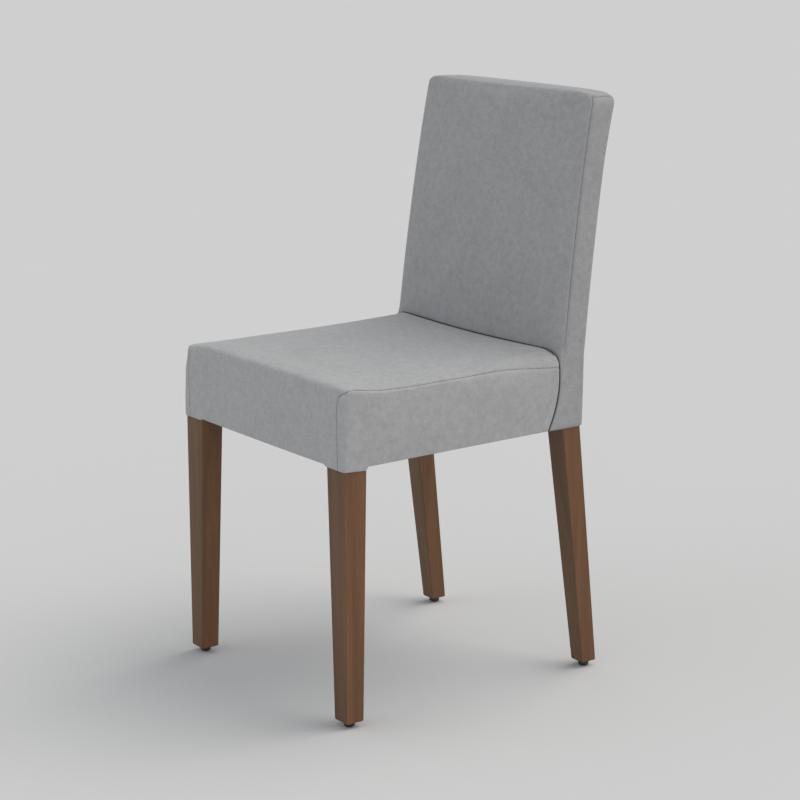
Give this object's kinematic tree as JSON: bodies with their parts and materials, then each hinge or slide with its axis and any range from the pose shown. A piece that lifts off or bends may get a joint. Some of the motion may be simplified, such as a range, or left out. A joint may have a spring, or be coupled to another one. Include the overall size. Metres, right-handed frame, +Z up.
{
  "type": "upholstered dining chair",
  "caption": "Dining chair with a padded box seat and a padded leaning back in grey fabric, on tapered walnut-stained wooden legs with small glides.",
  "frame": {"origin": "on the floor under the middle of the chair's overall box", "axes": "+Z up, -Y towards the front of the seat, +X towards the side on the viewer's right when the chair is seen from the front"},
  "size_m": [0.438, 0.4862, 0.867],
  "materials": {
    "stained_wood": "walnut-brown stain, satin lacquer",
    "frame_wood": "raw hardwood, planed",
    "cover_fabric": "grey short-pile suede-like weave",
    "foam": "open-cell foam with a thin wadding",
    "webbing": "elastic webbing",
    "board": "thin fibreboard",
    "dust_sheet": "black non-woven sheet",
    "fastener_steel": "zinc-plated",
    "glide_plastic": "black, fine matt grain"
  },
  "bodies": {
    "root": {"front_leg_left": "stained_wood", "front_leg_right": "stained_wood", "rear_leg_left": "stained_wood", "rear_leg_right": "stained_wood", "seat_rail_front": "frame_wood", "seat_rail_rear": "frame_wood", "seat_rail_left": "frame_wood", "seat_rail_right": "frame_wood", "corner_block_front_left": "frame_wood", "corner_block_front_right": "frame_wood", "corner_block_rear_left": "frame_wood", "corner_block_rear_right": "frame_wood", "back_top_rail": "frame_wood", "back_lower_rail": "frame_wood", "rail_dowels": "frame_wood", "seat_cover_main": "cover_fabric", "seat_cover_side_left": "cover_fabric", "seat_cover_side_right": "cover_fabric", "back_cover_main": "cover_fabric", "back_cover_side_left": "cover_fabric", "back_cover_side_right": "cover_fabric", "seat_foam": "foam", "back_foam": "foam", "seat_webbing_lengthwise": "webbing", "seat_webbing_crosswise": "webbing", "back_webbing": "webbing", "back_board": "board", "dust_cover": "dust_sheet", "corner_block_screws": "fastener_steel", "dust_cover_staples": "fastener_steel", "glide_nails": "fastener_steel", "glide_front_left": "glide_plastic", "glide_front_right": "glide_plastic", "glide_rear_left": "glide_plastic", "glide_rear_right": "glide_plastic"}
  },
  "joints": []
}
